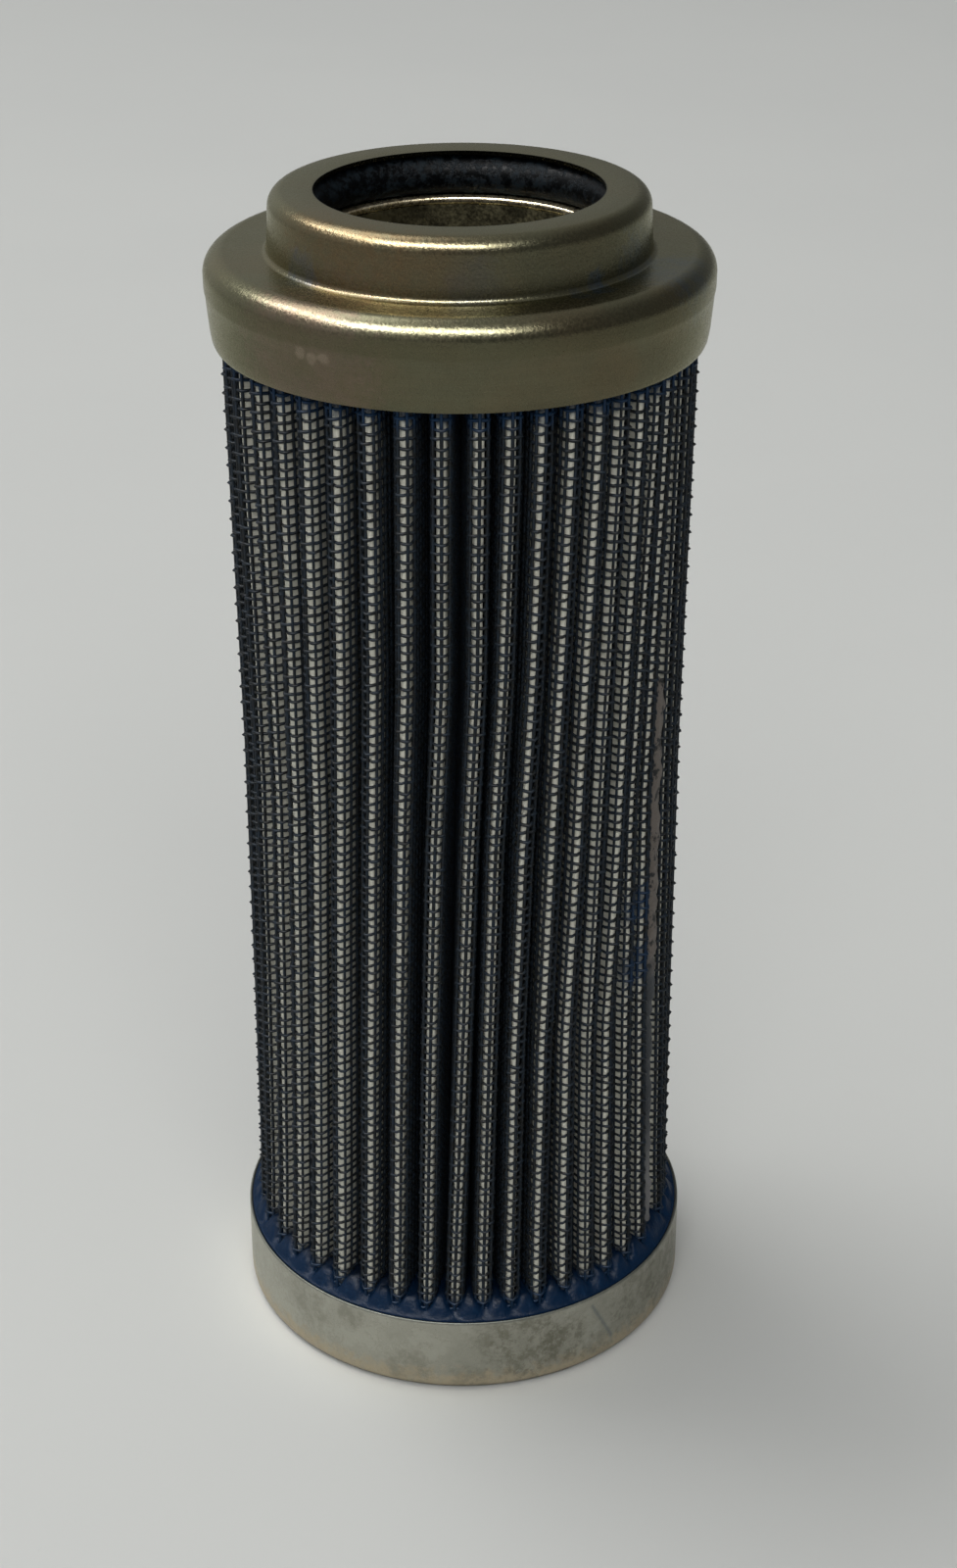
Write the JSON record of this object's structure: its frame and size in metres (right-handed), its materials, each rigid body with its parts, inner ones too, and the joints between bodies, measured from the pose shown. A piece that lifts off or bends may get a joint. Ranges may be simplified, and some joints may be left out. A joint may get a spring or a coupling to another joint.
{
  "type": "pleated filter element",
  "caption": "Hydraulic filter cartridge: a pleated wire-mesh and cloth pack on a perforated core tube between a closed and a collared steel end cap, with a rubber seal in the collar.",
  "frame": {"origin": "middle of the closed end cap's underside, on the element's axis", "axes": "+Z along the axis, from the closed cap up to the collar; -Y is the side that the picture shows, +X its right"},
  "size_m": [0.052, 0.052, 0.132],
  "materials": {
    "lower_cap_steel": "dull zinc-plated pressing with dirt and scratches",
    "upper_cap_steel": "yellow-passivated zinc, satin, with bluish and brownish tints",
    "seal_rubber": "black, satin",
    "support_ring_steel": "yellow-passivated, bright edge",
    "core_steel": "yellow-passivated, mottled",
    "potting_adhesive": "cured navy-blue adhesive",
    "seam_adhesive": "cured grey adhesive with pits",
    "dark_wire": "dark oiled wire with a blue tint",
    "media_cloth": "matte glass-fibre cloth, pale grey-beige",
    "backing_wire": "fine wire mesh"
  },
  "bodies": {
    "root": {"lower_end_cap": "lower_cap_steel", "upper_end_cap": "upper_cap_steel", "seal_ring": "seal_rubber", "seal_support_ring": "support_ring_steel", "core_tube": "core_steel", "lower_adhesive": "potting_adhesive", "upper_adhesive": "potting_adhesive", "outer_support_mesh": "dark_wire", "filter_media": "media_cloth", "inner_support_mesh": "backing_wire", "seam_adhesive": "seam_adhesive"}
  },
  "joints": []
}
